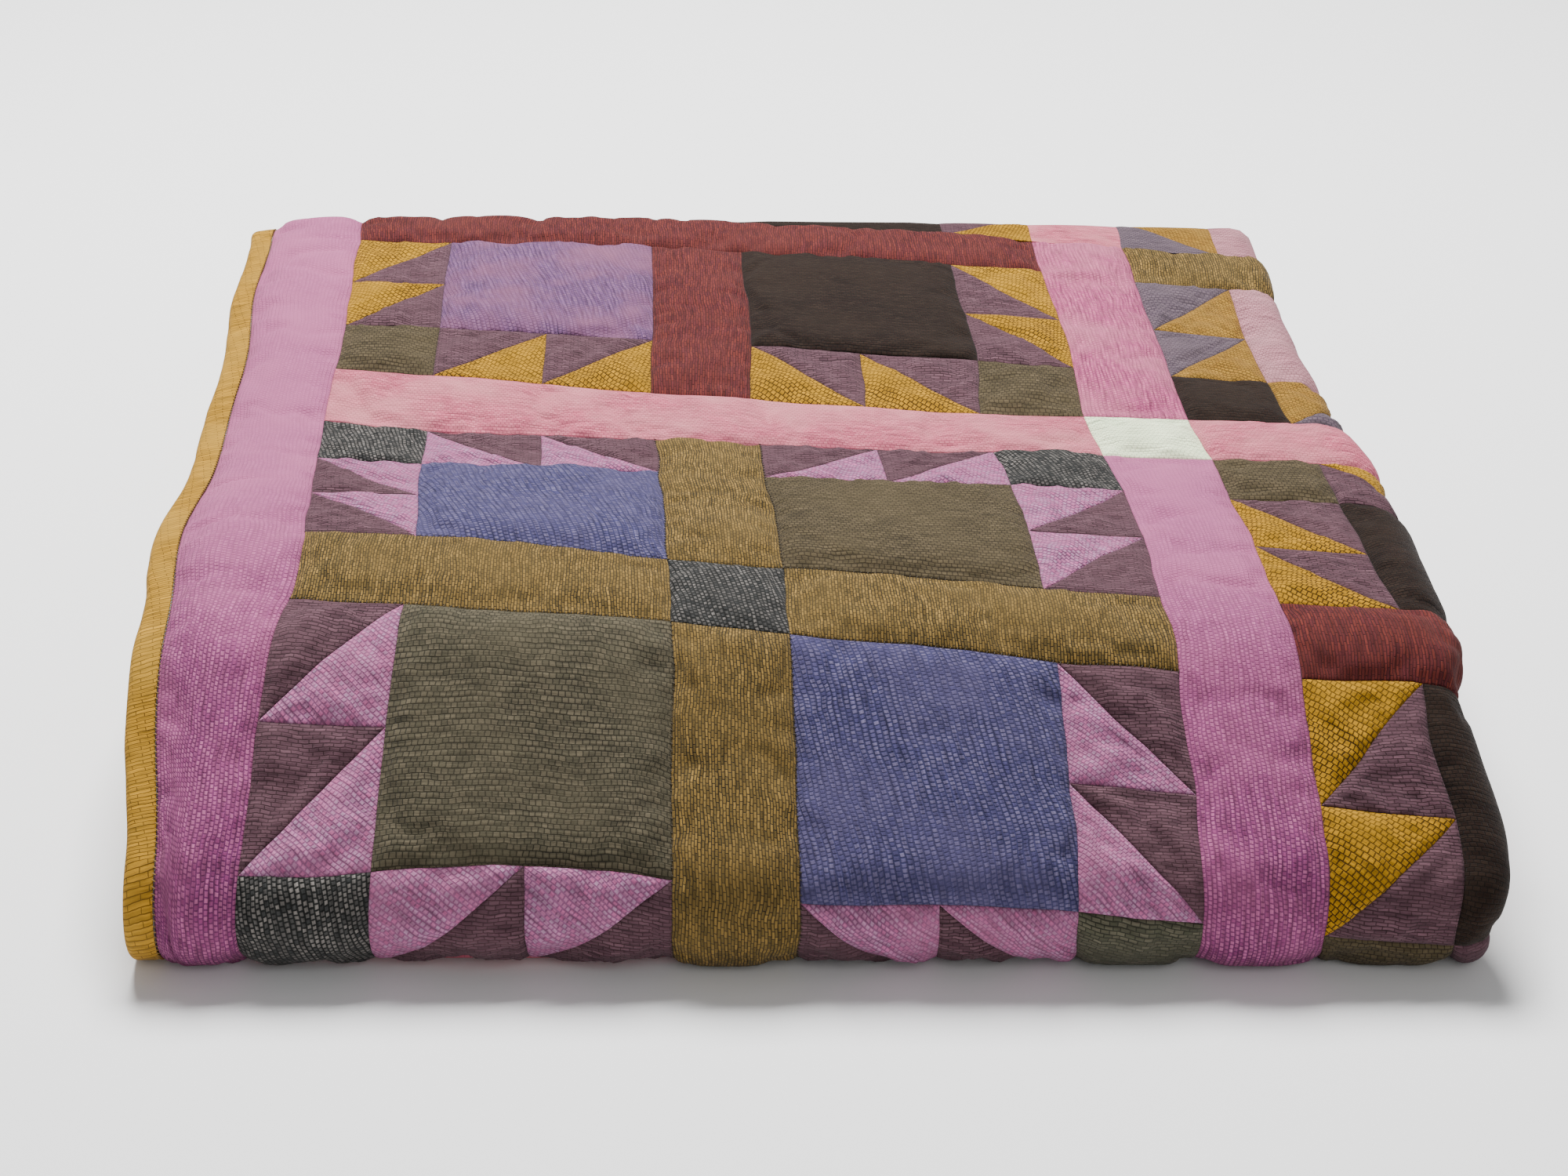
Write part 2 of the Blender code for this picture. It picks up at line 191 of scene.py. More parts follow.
BROW_Y = NOSE_Y + FALL / math.tan(FRONT_SLOPE) + (BROW_RADIUS - NOSE_RADIUS) * math.sin(FRONT_SLOPE)
BACK_Y = PACKET_DEPTH / 2 - INNER_RADIUS - BAND_HALF
END_Y = PACKET_DEPTH / 2 - END_SETBACK
PACKET = FoldLine(
    (END_Y, BAND_HALF),
    math.pi,
    (
        (0, END_Y - NOSE_Y),
        (FRONT_SLOPE - math.pi, NOSE_RADIUS),
        (0, FALL / math.sin(FRONT_SLOPE)),
        (-FRONT_SLOPE, BROW_RADIUS),
        (0, BACK_Y - BROW_Y),
        (-math.pi, INNER_RADIUS),
        (0, BACK_Y - BROW_Y),
        (math.pi, INNER_RADIUS),
        (0, END_Y - BROW_Y),
    ),
)
BAND_LENGTH = BAND.starts(0.0)[-1]
PACKET_LENGTH = PACKET.starts(0.0)[-1]
TOP_WIDTH = BAND.starts(TOP_LEVEL)[-1]
TOP_STARTS = PACKET.starts(TOP_IN_BAND)
TOP_LEAF_START = TOP_STARTS[4]
CLOTH_EDGE = BINDING_WIDTH + 0.3 * MM

# v at the two ends of the pieced top, and the reach over which its leaning rows come square.
V_OF_S = FRONT_ROW - BROW_Y + TOP_LEAF_START
V_FIRST = CLOTH_EDGE - V_OF_S
V_LAST = TOP_STARTS[-1] - CLOTH_EDGE - V_OF_S
SQUARING = 0.42


def smooth_step(value):
    value = np.clip(value, 0.0, 1.0)
    return value * value * (3 - 2 * value)


def skew_at(v):
    """The rows lean on the cloth that shows, and come square towards the quilt's ends."""
    return SKEW * smooth_step((v - V_FIRST) / SQUARING) * smooth_step((V_LAST - v) / SQUARING)


def along(u, v):
    """Distance along the packet of the pieced top's point (u, v)."""
    return TOP_LEAF_START + FRONT_ROW + v - skew_at(v) * (u - PACKET_WIDTH / 2) - BROW_Y


# Soft hills and hollows of the packet: place x, y, reach x, y and height, in metres.
SWELLS = (
    (-0.12, 0.19, 0.20, 0.10, 0.0065),
    (-0.17, -0.135, 0.15, 0.055, 0.0095),
    (-0.17, 0.01, 0.18, 0.05, -0.006),
    (0.10, 0.02, 0.10, 0.06, -0.004),
    (0.26, 0.12, 0.09, 0.20, -0.006),
    (0.10, -0.15, 0.14, 0.05, 0.004),
)
RIGHT_TURN = 0.19  # x from which the right-hand side is drawn in
DRAWN_IN = 0.04
LOWEST = 0.3 * MM  # over the ground, on which the packet lies
LEFT_REACH, RIGHT_REACH = 0.07, 0.06  # how far in from each side its waves go
EDGE_DROP, EDGE_REACH = 0.006, 0.02  # how the bound edge hangs


def settled(x, y, z):
    """The packet as it has settled: nothing moves at the ground, and the top moves most."""
    share = np.clip(z / HEIGHT, 0.0, 1.0)
    lift = np.zeros(np.shape(x))
    for at_x, at_y, reach_x, reach_y, height in SWELLS:
        lift += height * np.exp(-(((x - at_x) / reach_x) ** 2) - ((y - at_y) / reach_y) ** 2)
    left = np.exp(-(((x + PACKET_WIDTH / 2 - LEAN * y) / LEFT_REACH) ** 2))
    right = np.exp(-(((x - PACKET_WIDTH / 2 - LEAN * y) / RIGHT_REACH) ** 2))
    lift -= EDGE_DROP * np.exp(-(((x + PACKET_WIDTH / 2 - LEAN * y) / EDGE_REACH) ** 2))
    wave = 0.0022 * np.sin(y / 0.062 + 0.6) + 0.0012 * np.sin(y / 0.023 + 30 * z)
    bulge = 0.003 * np.sin(y / 0.05 + 2.0) * share + 0.0025 * np.sin(z / 0.011 + y / 0.08)
    drawn = DRAWN_IN * smooth_step(0.5 - y / 0.4) * np.maximum(0.0, x - RIGHT_TURN)
    return x + left * wave + right * bulge - drawn, y, np.maximum(z + lift * share, LOWEST)


def fold(u, s, level, u_measured=0.0, s_measured=0.0):
    """A point of the quilt from its distances across and along, and its level in the layer."""
    x, depth = BAND.point(u, level, u_measured)
    y, z = PACKET.point(s, depth, s_measured)
    return np.stack(settled(x + LEAN * y, y, z), axis=-1)


LATTICE = np.random.default_rng(7).uniform(-1.0, 1.0, (257, 257))


def ripple(u, v, size, seed):
    """Smooth noise between -1 and 1 over the flat cloth, its lumps `size` across."""
    total = 0.0
    for octave, share in ((1.0, 0.7), (2.1, 0.3)):
        a, b = u / size * octave + 13.7 * seed, v / size * octave + 7.3 * seed
        i, j = np.floor(a).astype(int), np.floor(b).astype(int)
        p, q = smooth_step(a - i), smooth_step(b - j)
        i, j = i % 256, j % 256
        low = (1 - p) * LATTICE[i, j] + p * LATTICE[i + 1, j]
        high = (1 - p) * LATTICE[i, j + 1] + p * LATTICE[i + 1, j + 1]
        total = total + share * ((1 - q) * low + q * high)
    return total


# ---------------------------------------------------------------- materials


def linear(code):
    """A linear RGBA colour from an sRGB hex code."""
    parts = [int(code[i : i + 2], 16) / 255 for i in (1, 3, 5)]
    return [c / 12.92 if c <= 0.04045 else ((c + 0.055) / 1.055) ** 2.4 for c in parts] + [1.0]


def add_node(tree, kind, inputs=(), **settings):
    """Adds a node. Inputs are given by name or number, as a value or as another's output."""
    made = tree.nodes.new(kind)
    for key, value in settings.items():
        setattr(made, key, value)
    for key, value in dict(inputs).items():
        if isinstance(value, bpy.types.NodeSocket):
            tree.links.new(value, made.inputs[key])
        else:
            made.inputs[key].default_value = value
    return made


WEAVE_UNIT = 5.0 * MM  # one unit of the weave patterns


def woven(
    name, ground, thread, second, dash, pitch, gap, turn=0.0, offset=0.5, faded=None, fade=0.35,
    paler_span=None, slub=0.45, relief=0.36, sheen=0.04,
):
    """Handwoven cotton. Dashes of two thread colours float on the ground threads, thick and
    thin by turns, so the eye gets a coarse grain, dull and a little fluffy. dash, pitch and gap
    are the length of a float, the distance between rows and the ground seen between, in mm.
    Rows closer than 1.3 mm wouldn't show, so the finest cloths are drawn that coarse.
    """
    material = bpy.data.materials.new(name)
    material.use_nodes = True
    tree = material.node_tree
    shader = tree.nodes["Principled BSDF"]
    unit = WEAVE_UNIT / MM

    cloth_map = add_node(tree, "ShaderNodeUVMap", uv_map="cloth").outputs[0]
    place = add_node(
        tree, "ShaderNodeMapping",
        {"Vector": cloth_map, "Rotation": (0, 0, turn), "Scale": (1 / WEAVE_UNIT,) * 3},
    ).outputs[0]
    drift = add_node(tree, "ShaderNodeTexNoise", {"Vector": place, "Scale": 0.45, "Detail": 3.0})
    bent = add_node(
        tree, "ShaderNodeVectorMath",
        {0: drift.outputs["Color"], 1: (0.55, 0.40, 0.0), 2: place}, operation="MULTIPLY_ADD",
    ).outputs[0]
    floats = add_node(
        tree, "ShaderNodeTexBrick",
        {
            "Vector": bent, "Color1": linear(thread), "Color2": linear(second),
            "Mortar": linear(ground), "Scale": 1.0, "Mortar Size": gap / unit / 2,
            "Mortar Smooth": 0.7, "Brick Width": dash / unit, "Row Height": pitch / unit,
        },
        offset=offset,
    )
    long_way = add_node(
        tree, "ShaderNodeMapping", {"Vector": bent, "Scale": (0.35, 3.6, 1.0)}
    ).outputs[0]
    thick = add_node(tree, "ShaderNodeTexNoise", {"Vector": long_way, "Scale": 1.0, "Detail": 4.0})
    grain = add_node(tree, "ShaderNodeTexNoise", {"Vector": place, "Scale": 7.0, "Detail": 2.0})
    shade = add_node(
        tree, "ShaderNodeMapRange",
        {"Value": thick.outputs[0], "From Min": 0.3, "From Max": 0.7,
         "To Min": 1.0 - slub, "To Max": 1.0 + slub},
    ).outputs[0]
    slubbed = add_node(
        tree, "ShaderNodeMix", {0: 1.0, 6: floats.outputs["Color"], 7: shade},
        data_type="RGBA", blend_type="MULTIPLY",
    ).outputs[2]
    worn = add_node(tree, "ShaderNodeTexNoise", {"Vector": place, "Scale": 0.11, "Detail": 3.0})
    wear = add_node(
        tree, "ShaderNodeMapRange",
        {"Value": worn.outputs[0], "From Min": 0.42, "From Max": 0.66, "To Max": fade},
    ).outputs[0]
    # Between the two given v values the cloth grows paler from the front of the quilt towards its
    # back, and it stays that pale behind them.
    if paler_span:
        run = add_node(tree, "ShaderNodeSeparateXYZ", {0: cloth_map}).outputs[1]
        paler_back = add_node(
            tree, "ShaderNodeMapRange",
            {"Value": run, "From Min": paler_span[0], "From Max": paler_span[1], "To Max": 0.75},
            interpolation_type="SMOOTHSTEP",
        ).outputs[0]
        wear = add_node(
            tree, "ShaderNodeMath", {0: wear, 1: 0.5, 2: paler_back}, operation="MULTIPLY_ADD",
            use_clamp=True,
        ).outputs[0]
    colour = add_node(
        tree, "ShaderNodeMix", {0: wear, 6: slubbed, 7: linear(faded or thread)}, data_type="RGBA"
    ).outputs[2]
    raised = add_node(
        tree, "ShaderNodeMath", {0: floats.outputs["Fac"], 1: -1.0, 2: thick.outputs[0]},
        operation="MULTIPLY_ADD",
    ).outputs[0]
    height = add_node(
        tree, "ShaderNodeMath", {0: grain.outputs[0], 1: 0.5, 2: raised}, operation="MULTIPLY_ADD"
    ).outputs[0]
    bump = add_node(
        tree, "ShaderNodeBump", {"Strength": 0.8, "Distance": relief * MM, "Height": height}
    ).outputs[0]
    tree.links.new(colour, shader.inputs["Base Color"])
    tree.links.new(bump, shader.inputs["Normal"])
    shader.inputs["Roughness"].default_value = 0.92
    shader.inputs["Sheen Weight"].default_value = sheen
    shader.inputs["Sheen Roughness"].default_value = 0.5
    shader.inputs["Specular IOR Level"].default_value = 0.08
    return material


UPRIGHT = math.radians(90)

# Each cloth: its ground, its two thread colours, then the weave's sizes in mm.
WEAVES = {
    "magenta": (
        "#5C2750", "#A0597F", "#783560", 1.9, 1.9, 0.75, UPRIGHT, 0.5, "#A75D82", 0.5, (0.02, 0.34)
    ),
    "pale_rose": ("#8F3F64", "#AB5C77", "#9B486C", 1.9, 1.9, 0.6, UPRIGHT, 0.5, "#B26B7E", 0.6),
    "sash_pink": ("#A14E61", "#B96775", "#AB5366", 2.2, 1.7, 0.5, 0.0, 0.5, "#C27B81", 0.8),
    "mint": ("#BBCCA7", "#DEEAC2", "#D1E0B9", 2.2, 1.8, 0.5, 0.0, 0.5, "#F1F4D1", 0.5),
    "plum": ("#38252A", "#5C424A", "#49323A", 4.2, 1.5, 0.55, 0.0, 0.37, "#583F46", 0.4),
    "claw_pink": ("#7C4C6C", "#A2587F", "#94708A", 2.0, 1.9, 0.8, 0.7, 0.5, "#9E5E7E", 0.4),
    "charcoal": ("#1C1D1C", "#706B67", "#2E2F2F", 1.9, 1.9, 0.95, 1.35, 0.5, "#2C2C2B", 0.5),
    "grey_green": ("#2C2C23", "#5B5748", "#3F3F32", 3.6, 1.6, 0.6, 0.1, 0.4, "#4A483D", 0.5),
    "olive": ("#2D2A20", "#534C3D", "#423E31", 2.5, 2.4, 0.6, 0.0, 0.5, "#504A3A", 0.4),
    "khaki": ("#2F271B", "#4E4432", "#413928", 2.5, 2.4, 0.6, 0.0, 0.5, "#4D4330", 0.4),
    "blue": ("#2E2D4C", "#5E5773", "#3D395B", 1.9, 2.5, 0.9, 1.35, 0.5, "#4B4564", 0.5),
    "lilac": ("#503858", "#6B4C68", "#614264", 2.0, 2.2, 0.7, 1.35, 0.5, "#7A4E66", 0.9),
    "ochre_shot": ("#272218", "#7E6433", "#564624", 3.0, 1.3, 0.5, UPRIGHT, 0.37, "#614F2C", 0.4),
    "rust": ("#381619", "#602923", "#4C1F22", 5.0, 1.3, 0.5, UPRIGHT, 0.37, "#592B27", 0.4),
    "mustard_knit": ("#39270A", "#9C7112", "#8C650E", 2.3, 2.7, 0.7, 0.6, 0.5, "#A57B1D", 0.4),
    "umber": ("#130D0A", "#271D17", "#1F1410", 2.6, 1.8, 0.5, 0.0, 0.5, "#2A2019", 0.4),
    "dusty_rose": ("#84525D", "#A3727A", "#9A6A72", 2.2, 2.0, 0.5, 0.0, 0.5, "#A67D81", 0.5),
    "grey_lavender": ("#423741", "#5C4F56", "#52464E", 2.4, 2.0, 0.7, 0.0, 0.5, "#605259", 0.4),
    "ochre_claw": ("#5A4218", "#8E6A28", "#7F5A20", 2.2, 1.8, 0.6, 0.5, 0.5, "#8B6B32", 0.4),
    "binding": ("#5B3F0F", "#A37821", "#916B1D", 9.0, 1.7, 0.45, 0.16, 0.4, "#B28B38", 0.4),
    "backing_cloth": ("#A8957C", "#BCA98E", "#B29F86", 1.6, 1.6, 0.3, 0.0, 0.5, "#C4B49C", 0.4),
    "wadding_cotton": ("#DAD5CA", "#EAE6DC", "#E2DDD2", 9.0, 6.0, 1.0, 0.3, 0.4, "#F0EDE6", 0.5),
}
made_materials = {}


def cloth_material(name):
    if name not in made_materials:
        made_materials[name] = woven(name + "_cotton", *WEAVES[name])
    return made_materials[name]


# ---------------------------------------------------------------- meshes


def lines_of(length, step):
    """Shares of a length that divide it evenly, with more lines at both ends for the rolled
    edge of the cloth where its grid is fine."""
    roll = [0.0, 0.3 * MM, 0.9 * MM, 2.0 * MM] if step <= FINE else [0.0]
    roll += [1.5 * MM] if FINE < step <= TURNING else []
    if length < 3 * roll[-1]:
        return np.linspace(0.0, 1.0, 4)
    count = max(1, round((length - 2 * roll[-1]) / step))
    middle = np.linspace(roll[-1], length - roll[-1], count + 1)
    ends = [length - r for r in reversed(roll[:-1])]
    return np.array(roll[:-1] + list(middle) + ends) / length


def slab_faces(rows, columns, first):
    """Faces of a closed slab of rows by columns points, its top points first, then its bottom."""
    index = np.arange(rows * columns).reshape(rows, columns) + first
    low = index + rows * columns
    top = np.stack([index[:-1, :-1], index[:-1, 1:], index[1:, 1:], index[1:, :-1]], axis=-1)
    bottom = np.stack([low[:-1, :-1], low[1:, :-1], low[1:, 1:], low[:-1, 1:]], axis=-1)
    rim = np.concatenate([index[0, :], index[1:, -1], index[-1, -2::-1], index[-2:0:-1, 0]])
    under = rim + rows * columns
    sides = np.stack([rim, under, np.roll(under, -1), np.roll(rim, -1)], axis=-1)
    return np.concatenate([top.reshape(-1, 4), bottom.reshape(-1, 4), sides])


class Cloths:
    """Gathers slabs of cloth into the mesh of one piece."""

    def __init__(self):
        self.points, self.faces, self.flat, self.slots, self.names = [], [], [], [], []
        self.count = 0
        self.panels = []

    def add(self, points, faces, flat, cloth_name):
        """points are rows of three, flat the cloth's own measure of each."""
        if cloth_name not in self.names:
            self.names.append(cloth_name)
        self.points.append(points)
        self.flat.append(flat)
        self.faces.append(faces + self.count)
        self.slots.append(np.full(len(faces), self.names.index(cloth_name)))
        self.count += len(points)

    def add_slab(self, upper, lower, flat, cloth_name):
        rows, columns = upper.shape[:2]
        points = np.concatenate([upper.reshape(-1, 3), lower.reshape(-1, 3)])
        faces = slab_faces(rows, columns, 0)
        self.add(points, faces, np.concatenate([flat.reshape(-1, 2)] * 2), cloth_name)

    def piece(self, name):
        faces, points = np.concatenate(self.faces), np.concatenate(self.points)
        mesh = bpy.data.meshes.new(name)
        mesh.vertices.add(len(points))
        mesh.vertices.foreach_set("co", points.ravel())
        mesh.loops.add(faces.size)
        mesh.loops.foreach_set("vertex_index", faces.ravel())
        mesh.polygons.add(len(faces))
        mesh.polygons.foreach_set("loop_start", np.arange(0, faces.size, 4))
        mesh.polygons.foreach_set("material_index", np.concatenate(self.slots))
        layer = mesh.uv_layers.new(name="cloth")
        layer.data.foreach_set("uv", np.concatenate(self.flat)[faces.ravel()].ravel())
        mesh.update(calc_edges=True)
        mesh.validate()
        mesh.shade_smooth()
        mesh.set_sharp_from_angle(angle=math.radians(70))
        for cloth_name in self.names:
            mesh.materials.append(cloth_material(cloth_name))
        shown = bpy.data.objects.new(name, mesh)
        bpy.context.scene.collection.objects.link(shown)
        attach(shown, "root")
        return shown


def edge_distance(points, corners):
    """Distance of flat points from the nearest side of the panel that these corners bound."""
    nearest = np.full(points.shape[:-1], np.inf)
    for start, end in zip(corners, np.roll(corners, -1, axis=0)):
        side, away = end - start, points - start
        length = math.hypot(*side)
        if length > 3 * MM:
            share = np.clip((away @ side) / length**2, 0.0, 1.0)
            apart = np.linalg.norm(away - share[..., None] * side, axis=-1)
            nearest = np.minimum(nearest, apart)
    return nearest


# Where whole stretches of the patchwork were cut or pulled out of square: place u, v, reach
# u, v and the shift, in metres.
DRIFTS = (
    (0.05, 0.03, 0.10, 0.085, -0.017, -0.028),
    (0.30, 0.00, 0.60, 0.04, 0.0, -0.006),
    (0.28, 0.04, 0.06, 0.06, 0.0, -0.010),
    (0.10, 0.22, 0.16, 0.07, 0.004, 0.008),
    (0.20, 0.37, 0.25, 0.06, 0.0, -0.008),
    (0.35, 0.42, 0.20, 0.05, -0.004, -0.010),
    (0.30, 0.62, 0.50, 0.055, 0.0, 0.020),
    (0.55, 0.17, 0.08, 0.05, 0.0, 0.008),
    (0.57, 0.19, 0.07, 0.07, 0.006, 0.0),
    (0.56, 0.03, 0.05, 0.08, 0.010, 0.0),
)


def wobble(points):
    """The seams were cut and sewn by eye, so they wander a little."""
    u, v = points[..., 0], points[..., 1]
    shift_u = 2.0 * MM * ripple(u, v, 0.09, 3.1) + 1.3 * MM * ripple(u, v, 0.030, 7.7)
    shift_v = 2.4 * MM * ripple(u, v, 0.10, 11.3) + 1.3 * MM * ripple(u, v, 0.030, 15.9)
    for at_u, at_v, reach_u, reach_v, by_u, by_v in DRIFTS:
        near = np.exp(-(((u - at_u) / reach_u) ** 2) - ((v - at_v) / reach_v) ** 2)
        shift_u, shift_v = shift_u + near * by_u, shift_v + near * by_v
    inside = smooth_step((u - CLOTH_EDGE) / (30 * MM))
    return points + np.stack([shift_u * inside, shift_v * (0.3 + 0.7 * inside)], axis=-1)


def relief(u, v, distance):
    """Height of the pieced top over its mean level: patches puff up between sunken seams."""
    puff = SEAM_DEPTH * (0.45 - np.exp(-distance / SEAM_REACH))
    roll = -0.5 * MM * np.exp(-distance / (0.5 * MM))
    wrinkles = 0.8 * MM * ripple(u, v * 1.6, 0.040, 1.5)
    puckers = 0.35 * MM * ripple(u, v, 0.012, 5.5) * np.exp(-distance / (14 * MM))
    return puff + roll + wrinkles + puckers


# The top is simulated flat, held at its seams and a little too large for them, so that it
# wrinkles and puffs as sewn cloth does. The result is read back as a shift of each flat point.
SIM_STEP = 4.0 * MM
SIM_LOW = np.array((0.0, -0.10))
SIM_HIGH = np.array((0.70, 0.83))
SIM_FRAMES = 18
SLACK = 0.045  # how much longer the cloth is than the space between its seams
HIGHEST_PUFF = 2.7 * MM
sim_shift = None


def simulate(panels):
    global sim_shift
    columns, rows = (np.ceil((SIM_HIGH - SIM_LOW) / SIM_STEP).astype(int) + 1)
    u, v = np.meshgrid(
        SIM_LOW[0] + SIM_STEP * np.arange(columns), SIM_LOW[1] + SIM_STEP * np.arange(rows)
    )
    flat = np.stack([u, v], axis=-1)
    distance = np.full(u.shape, np.inf)
    for corners, _, _ in panels:
        distance = np.minimum(distance, edge_distance(flat, corners))
    start = 0.8 * MM * ripple(u, v, 0.020, 31.0) * np.minimum(1.0, distance / (8 * MM))
    points = np.concatenate([flat, start[..., None]], axis=-1).reshape(-1, 3)
    index = np.arange(rows * columns).reshape(rows, columns)
    faces = np.stack([index[:-1, :-1], index[:-1, 1:], index[1:, 1:], index[1:, :-1]], axis=-1)
    mesh = bpy.data.meshes.new("top_in_work")
    mesh.from_pydata(points.tolist(), [], faces.reshape(-1, 4).tolist())
    work = bpy.data.objects.new("top_in_work", mesh)
    bpy.context.scene.collection.objects.link(work)
    sewn = work.vertex_groups.new(name="sewn")
    held = np.flatnonzero(distance.ravel() < 0.75 * SIM_STEP)
    sewn.add([int(n) for n in held], 1.0, "REPLACE")
    cloth = work.modifiers.new("cloth", "CLOTH")
    cloth.settings.vertex_group_mass = "sewn"
    cloth.settings.quality = 5
    cloth.settings.mass = 0.2
    cloth.settings.tension_stiffness = 20
    cloth.settings.compression_stiffness = 20
    cloth.settings.shear_stiffness = 6
    cloth.settings.bending_stiffness = 0.4
    cloth.settings.shrink_min = -SLACK
    cloth.settings.shrink_max = -SLACK
    cloth.settings.effector_weights.gravity = 0.15
    cloth.collision_settings.use_collision = False
    scene = bpy.context.scene
    gravity = tuple(scene.gravity)
    scene.gravity = (0.0, 0.0, 9.8)
    for number in range(1, SIM_FRAMES + 1):
        scene.frame_set(number)
    done = work.evaluated_get(bpy.context.evaluated_depsgraph_get()).to_mesh()
    moved = np.empty(3 * len(points))
    done.vertices.foreach_get("co", moved)
    scene.gravity = gravity
    scene.frame_set(1)
    bpy.data.objects.remove(work)
    shift = (moved.reshape(rows, columns, 3) - np.concatenate([flat, 0 * flat[..., :1]], axis=-1))
    shift[..., 2] = HIGHEST_PUFF * np.tanh(shift[..., 2] / HIGHEST_PUFF)
    shift[..., :2] = np.clip(shift[..., :2], -1.5 * MM, 1.5 * MM)
    sim_shift = shift


def slack_at(flat):
    """The simulated shift of flat points, between the four nearest points of the sheet."""
    if sim_shift is None:
        return np.zeros(flat.shape[:-1] + (3,))
    rows, columns = sim_shift.shape[:2]
    place = (flat - SIM_LOW) / SIM_STEP
    i = np.clip(np.floor(place[..., 1]).astype(int), 0, rows - 2)
    j = np.clip(np.floor(place[..., 0]).astype(int), 0, columns - 2)
    q = np.clip(place[..., 1] - i, 0.0, 1.0)[..., None]
    p = np.clip(place[..., 0] - j, 0.0, 1.0)[..., None]
    near = (1 - p) * sim_shift[i, j] + p * sim_shift[i, j + 1]
    far = (1 - p) * sim_shift[i + 1, j] + p * sim_shift[i + 1, j + 1]
    return (1 - q) * near + q * far


def panel(cloths, corners, cloth_name, step):
    """Plans one cut piece of cloth with four corners, in the flat measure, anticlockwise. step
    is the size of its grid, or one size for each way."""
    cloths.panels.append((np.array(corners, float), cloth_name, np.broadcast_to(step, 2)))


def cut(corners, p, q):
    """Flat points of a panel at shares p of its first side and q of its second."""
    p, q = np.meshgrid(p, q)
    p, q = p[..., None], q[..., None]
    a, b, c, d = corners
    return (1 - p) * (1 - q) * a + p * (1 - q) * b + p * q * c + (1 - p) * q * d


def closer(lines, headings):
    """Adds lines until the packet's fold turns little between any two of them."""
    while True:
        turns = np.abs(np.diff(headings(lines), axis=0)).max(axis=1)
        wide = (turns > MOST_TURN) & (np.diff(lines) > LEAST_SHARE)
        if not wide.any():
            return lines
        lines = np.sort(np.concatenate([lines, ((lines[:-1] + lines[1:]) / 2)[wide]]))


def sew(cloths, corners, cloth_name, steps):
    """Makes a planned panel as a slab of cloth in its place in the packet."""
    sides = [math.dist(corners[(i + 1) % 4], corners[i]) for i in range(4)]
    p = lines_of(max(sides[0], sides[2]), steps[0])
    q = lines_of(max(sides[1], sides[3]), steps[1])
    if steps[0] == TURNING:

        def headings(p, q):
            place = wobble(cut(corners, p, q))
            return PACKET.heading(along(place[..., 0], place[..., 1]), TOP_IN_BAND)

        p, q = closer(p, lambda p: headings(p, q).T), closer(q, lambda q: headings(p, q))
    flat = cut(corners, p, q)
    place = wobble(flat)
    distance = edge_distance(flat, corners)
    if max(steps) > FINE:
        height = 0.3 * relief(flat[..., 0], flat[..., 1], distance)
    else:
        pulled = slack_at(flat)
        height = pulled[..., 2] + relief(flat[..., 0], flat[..., 1], distance)
        place = place + pulled[..., :2]
    u, v = place[..., 0], place[..., 1]
    s = along(u, v)
    upper = fold(u, s, TOP_LEVEL + TOP_CLOTH / 2 + height, TOP_LEVEL, TOP_IN_BAND)
    lower = fold(u, s, TOP_LEVEL - TOP_CLOTH / 2 + height, TOP_LEVEL, TOP_IN_BAND)
    cloths.add_slab(upper, lower, flat, cloth_name)


def rectangle(cloths, u0, u1, v0, v1, cloth_name, step):
    panel(cloths, [(u0, v0), (u1, v0), (u1, v1), (u0, v1)], cloth_name, step)


def triangle(cloths, tip, second, third, cloth_name, step):
    """A triangle, anticlockwise, is a panel whose side at the tip has next to no length."""
    tip, second, third = (np.array(corner, float) for corner in (tip, second, third))
    near = tip + (second - tip) * TIP / math.dist(second, tip)
    other = tip + (third - tip) * TIP / math.dist(third, tip)
    panel(cloths, [near, second, third, other], cloth_name, np.min(step))


def teeth(cloths, u0, u1, v0, v1, claw_high, claw, ground, step):
    """Two units of a sawtooth strip, each of two triangles. claw_high says for u and for v
    whether the claw has its right angle at the high side."""
    lengthwise = v1 - v0 > u1 - u0
    for number in (0, 1):
        if lengthwise:
            half = (v1 - v0) / 2
            a0, a1, b0, b1 = u0, u1, v0 + number * half, v0 + (number + 1) * half
        else:
            half = (u1 - u0) / 2
            a0, a1, b0, b1 = u0 + number * half, u0 + (number + 1) * half, v0, v1
        corners = [(a0, b0), (a1, b0), (a1, b1), (a0, b1)]
        at = corners.index((a1 if claw_high[0] else a0, b1 if claw_high[1] else b0))
        before, here, after, across = (corners[(at + i) % 4] for i in (-1, 0, 1, 2))
        triangle(cloths, before, here, after, claw, step)
        triangle(cloths, after, across, before, ground, step)


# ---------------------------------------------------------------- the pieced top

EDGE = BINDING_WIDTH
LEFT_BLOCK = EDGE + SASH
RIGHT_SASH = LEFT_BLOCK + BLOCK
RIGHT_BLOCK = RIGHT_SASH + SASH
SHOWN_RIGHT = RIGHT_BLOCK + TOOTH + PAW
BACK_BLOCK = BLOCK + SASH
SHOWN_BACK = BACK_BLOCK + TOOTH + PAW + CROSS

